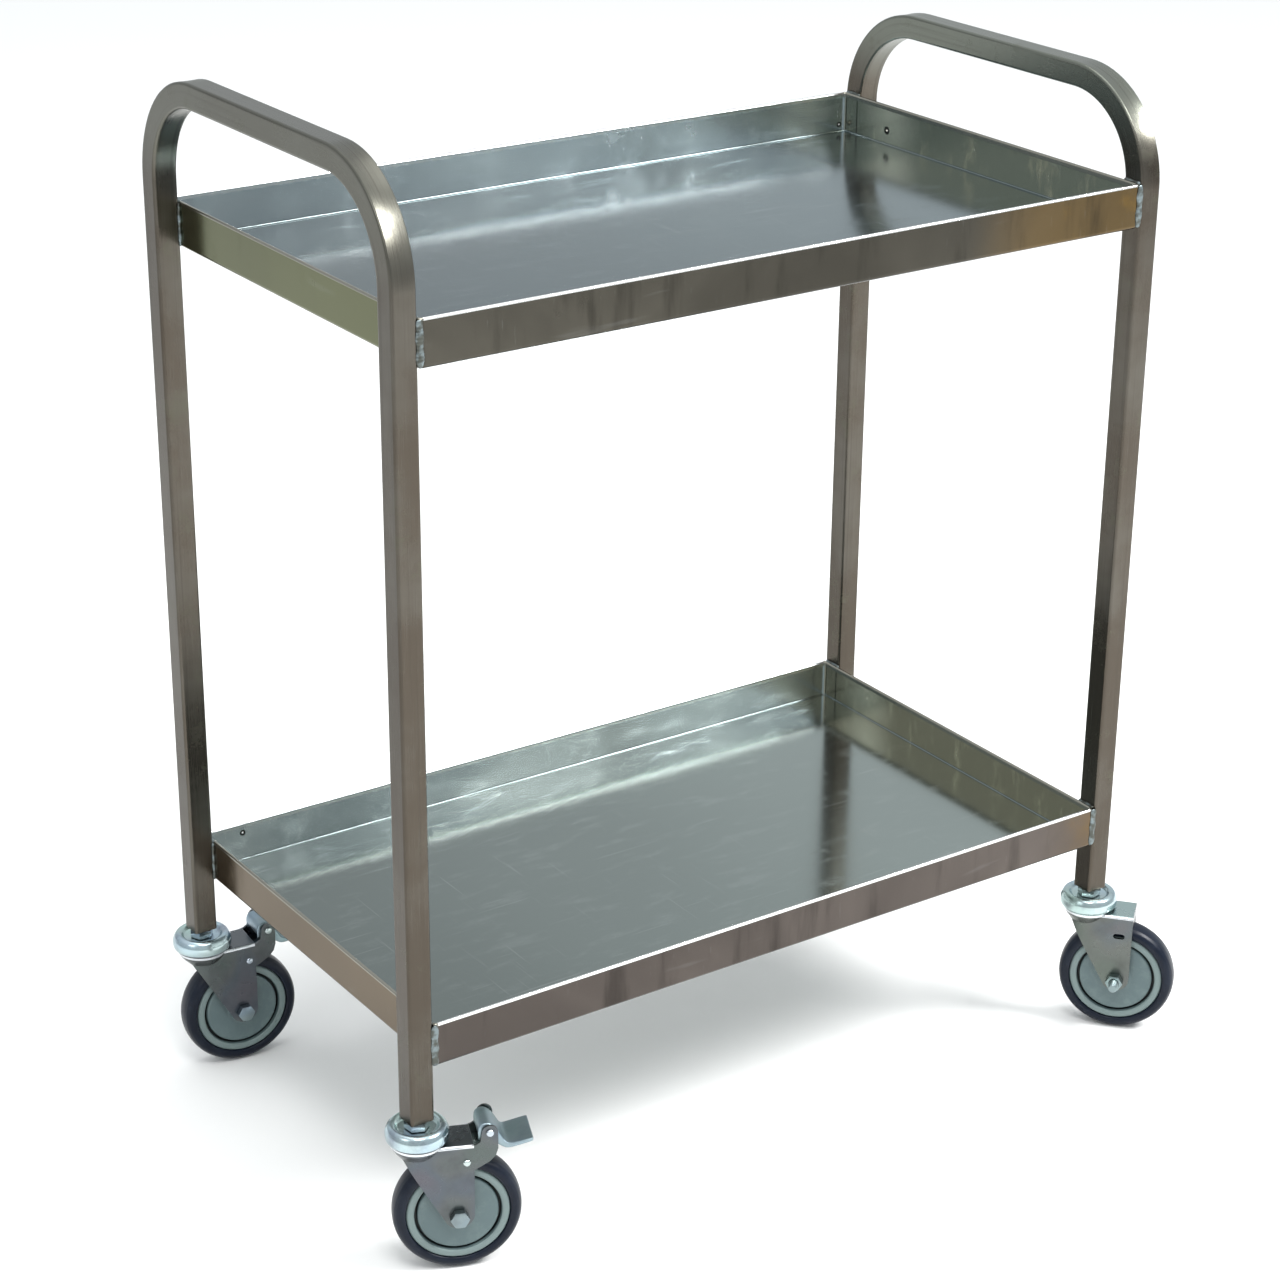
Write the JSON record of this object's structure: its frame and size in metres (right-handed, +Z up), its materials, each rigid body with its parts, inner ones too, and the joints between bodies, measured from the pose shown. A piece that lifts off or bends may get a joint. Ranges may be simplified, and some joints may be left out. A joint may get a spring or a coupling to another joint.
{
  "type": "instrument cart",
  "caption": "Stainless instrument trolley: square-tube end frames bent over into handles, shallow sheet trays as shelves, swivel casters, pedal brakes on the taller end.",
  "frame": {"origin": "centre of the resting bounding box, on the floor", "axes": "+X along the length towards the lower handle, the long front side faces -Y, +Z up"},
  "size_m": [0.7718, 0.4456, 0.863],
  "materials": {
    "tube": "satin, lightly brushed along the tube",
    "tray": "bright annealed, near mirror on the floors",
    "zinc": "bright zinc plate with faint passivation colour",
    "bolt": "bright zinc plate",
    "tyre": "satin dark grey rubber",
    "core": "moulded grey-green",
    "plug": "moulded black"
  },
  "bodies": {
    "frame": {"left_end_frame": "tube", "right_end_frame": "tube", "top_tray": "tray", "bottom_tray": "tray", "leg_plug_fl": "plug", "stem_fl": "bolt", "swivel_cap_fl": "zinc", "leg_plug_bl": "plug", "stem_bl": "bolt", "swivel_cap_bl": "zinc", "leg_plug_fr": "plug", "stem_fr": "bolt", "swivel_cap_fr": "zinc", "leg_plug_br": "plug", "stem_br": "bolt", "swivel_cap_br": "zinc"},
    "swivel_fl": {"ball_ring_fl": "bolt", "fork_fl": "zinc", "king_washer_fl": "bolt", "axle_bolt_fl": "bolt", "axle_nut_fl": "bolt", "axle_sleeve_fl": "bolt", "pedal_pin_fl": "bolt", "shoe_rivet_near_fl": "bolt", "shoe_rivet_far_fl": "bolt"},
    "wheel_fl": {"wheel_core_fl": "core", "tyre_fl": "tyre"},
    "pedal_fl": {"brake_pedal_fl": "zinc"},
    "shoe_fl": {"brake_shoe_fl": "bolt"},
    "swivel_bl": {"ball_ring_bl": "bolt", "fork_bl": "zinc", "king_washer_bl": "bolt", "axle_bolt_bl": "bolt", "axle_nut_bl": "bolt", "axle_sleeve_bl": "bolt", "pedal_pin_bl": "bolt", "shoe_rivet_near_bl": "bolt", "shoe_rivet_far_bl": "bolt"},
    "wheel_bl": {"wheel_core_bl": "core", "tyre_bl": "tyre"},
    "pedal_bl": {"brake_pedal_bl": "zinc"},
    "shoe_bl": {"brake_shoe_bl": "bolt"},
    "swivel_fr": {"ball_ring_fr": "bolt", "fork_fr": "zinc", "king_washer_fr": "bolt", "axle_bolt_fr": "bolt", "axle_nut_fr": "bolt", "axle_sleeve_fr": "bolt"},
    "wheel_fr": {"wheel_core_fr": "core", "tyre_fr": "tyre"},
    "swivel_br": {"ball_ring_br": "bolt", "fork_br": "zinc", "king_washer_br": "bolt", "axle_bolt_br": "bolt", "axle_nut_br": "bolt", "axle_sleeve_br": "bolt"},
    "wheel_br": {"wheel_core_br": "core", "tyre_br": "tyre"}
  },
  "joints": [
    {"name": "caster_swivel_fl", "type": "hinge", "parent": "frame", "child": "swivel_fl", "pos_m": [-0.36143, -0.15867, 0.1125], "axis": [0, 0, 1], "continuous": true},
    {"name": "wheel_spin_fl", "type": "hinge", "parent": "swivel_fl", "child": "wheel_fl", "pos_m": [-0.33473, -0.17, 0.05], "axis": [0.3907, 0.9205, 0], "continuous": true},
    {"name": "brake_pedal_fl", "type": "hinge", "parent": "swivel_fl", "child": "pedal_fl", "pos_m": [-0.31237, -0.17949, 0.122], "axis": [0.3907, 0.9205, 0], "range_deg": [0, 18]},
    {"name": "brake_shoe_fl", "type": "hinge", "parent": "swivel_fl", "child": "shoe_fl", "pos_m": [-0.32884, -0.1725, 0.0975], "axis": [0.3907, 0.9205, 0], "range_deg": [0, 29]},
    {"name": "caster_swivel_bl", "type": "hinge", "parent": "frame", "child": "swivel_bl", "pos_m": [-0.36143, 0.19833, 0.1125], "axis": [0, 0, 1], "continuous": true},
    {"name": "wheel_spin_bl", "type": "hinge", "parent": "swivel_bl", "child": "wheel_bl", "pos_m": [-0.33259, 0.1953, 0.05], "axis": [0.1045, 0.9945, 0], "continuous": true},
    {"name": "brake_pedal_bl", "type": "hinge", "parent": "swivel_bl", "child": "pedal_bl", "pos_m": [-0.30842, 0.19276, 0.122], "axis": [0.1045, 0.9945, 0], "range_deg": [0, 18]},
    {"name": "brake_shoe_bl", "type": "hinge", "parent": "swivel_bl", "child": "shoe_bl", "pos_m": [-0.32622, 0.19463, 0.0975], "axis": [0.1045, 0.9945, 0], "range_deg": [0, 29]},
    {"name": "caster_swivel_fr", "type": "hinge", "parent": "frame", "child": "swivel_fr", "pos_m": [0.31457, -0.15867, 0.1125], "axis": [0, 0, 1], "continuous": true},
    {"name": "wheel_spin_fr", "type": "hinge", "parent": "swivel_fr", "child": "wheel_fr", "pos_m": [0.3336, -0.18055, 0.05], "axis": [0.7547, 0.6561, 0], "continuous": true},
    {"name": "caster_swivel_br", "type": "hinge", "parent": "frame", "child": "swivel_br", "pos_m": [0.31457, 0.19833, 0.1125], "axis": [0, 0, 1], "continuous": true},
    {"name": "wheel_spin_br", "type": "hinge", "parent": "swivel_br", "child": "wheel_br", "pos_m": [0.33969, 0.18383, 0.05], "axis": [0.5, 0.866, 0], "continuous": true}
  ],
  "couplings": [
    {"joint": "brake_shoe_fl", "follows": "brake_pedal_fl", "ratio": 1.6},
    {"joint": "brake_shoe_bl", "follows": "brake_pedal_bl", "ratio": 1.6}
  ]
}
